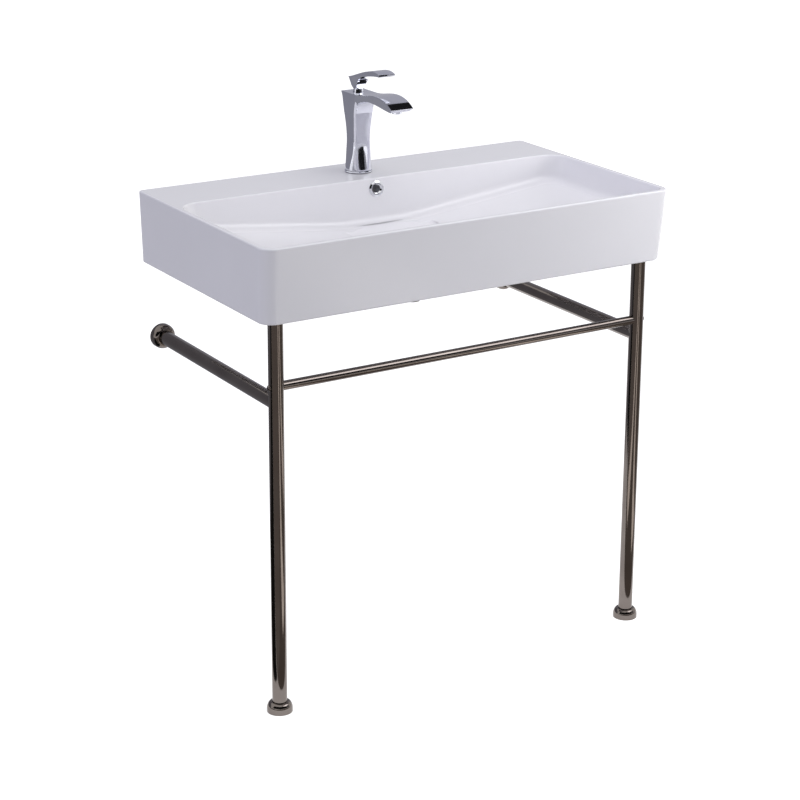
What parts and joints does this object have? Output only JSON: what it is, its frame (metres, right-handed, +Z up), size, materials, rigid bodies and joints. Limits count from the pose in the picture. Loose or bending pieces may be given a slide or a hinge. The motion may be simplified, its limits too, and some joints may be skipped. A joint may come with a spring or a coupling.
{
  "type": "console basin on tube stand",
  "caption": "Rectangular china console basin with tap deck, overflow and push waste, a single-lever mixer tap and a tube stand with towel rails fixed to floor and wall.",
  "frame": {"origin": "centre of the basin's footprint at floor level", "axes": "+X to the right as seen by the user, +Y towards the wall, +Z up"},
  "size_m": [0.7998, 0.4597, 1.006],
  "materials": {
    "china": "white vitreous glaze",
    "tap_chrome": "bright chrome plate",
    "chrome_trim": "bright chrome plate",
    "stand_metal": "polished dark nickel on steel tube",
    "steel": "plain zinc-plated steel",
    "brass": "turned brass",
    "white_plastic": "moulded",
    "black_plastic": "moulded nylon",
    "black_rubber": "matt rubber",
    "soft_seal": "translucent grey elastomer"
  },
  "bodies": {
    "root": {"basin": "china", "overflow_ring": "chrome_trim", "waste_body": "chrome_trim", "waste_bowl_gasket": "soft_seal", "waste_cone_washer": "soft_seal", "waste_slip_washer": "white_plastic", "waste_lock_nut": "brass", "waste_tail_pipe": "chrome_trim", "waste_click_cartridge": "brass", "tap_base_seal": "black_rubber", "tap_base_ring": "tap_chrome", "tap_body": "tap_chrome", "tap_aerator_housing": "tap_chrome", "tap_aerator_insert": "white_plastic", "tap_cartridge": "white_plastic", "tap_cartridge_seals": "black_rubber", "tap_cartridge_nut": "brass", "tap_cover_ring": "tap_chrome", "tap_mounting_stud": "steel", "tap_clamp_gasket": "black_rubber", "tap_clamp_plate": "steel", "tap_stud_nut": "brass", "cross_rail": "stand_metal", "cross_rail_plugs": "steel", "cross_rail_screws": "stand_metal", "rail_set_screws": "steel", "leg_left": "stand_metal", "leg_right": "stand_metal", "leg_top_plug_left": "black_plastic", "leg_top_plug_right": "black_plastic", "leg_top_screw_left": "steel", "leg_top_screw_right": "steel", "leg_top_pad_left": "black_rubber", "leg_top_pad_right": "black_rubber", "leg_collar_left": "soft_seal", "leg_collar_right": "soft_seal", "leg_foot_plug_left": "black_plastic", "leg_foot_plug_right": "black_plastic", "levelling_foot_left": "black_plastic", "levelling_foot_right": "black_plastic", "foot_flange_left": "stand_metal", "foot_flange_right": "stand_metal", "side_rail_left": "stand_metal", "side_rail_right": "stand_metal", "wall_plate_left": "steel", "wall_plate_right": "steel", "wall_flange_left": "stand_metal", "wall_flange_right": "stand_metal"},
    "tap_spindle": {"tap_rotor": "brass", "tap_rotor_pin": "steel"},
    "tap_handle": {"tap_stem": "brass", "tap_lever": "tap_chrome", "tap_lever_screw": "steel", "tap_lever_plug": "tap_chrome"},
    "waste_plug": {"waste_plunger": "brass", "waste_cap": "chrome_trim", "waste_cap_seal": "soft_seal"}
  },
  "joints": [
    {"name": "tap_swing", "type": "hinge", "parent": "root", "child": "tap_spindle", "pos_m": [0, 0.162, 0.958], "axis": [0, 0, 1], "range_deg": [-45, 45]},
    {"name": "tap_lift", "type": "hinge", "parent": "tap_spindle", "child": "tap_handle", "pos_m": [0, 0.162, 0.958], "axis": [-1, 0, 0], "range_deg": [0, 25]},
    {"name": "waste_push", "type": "slide", "parent": "root", "child": "waste_plug", "axis": [0, 0, -1], "range_m": [0, 0.008]}
  ]
}
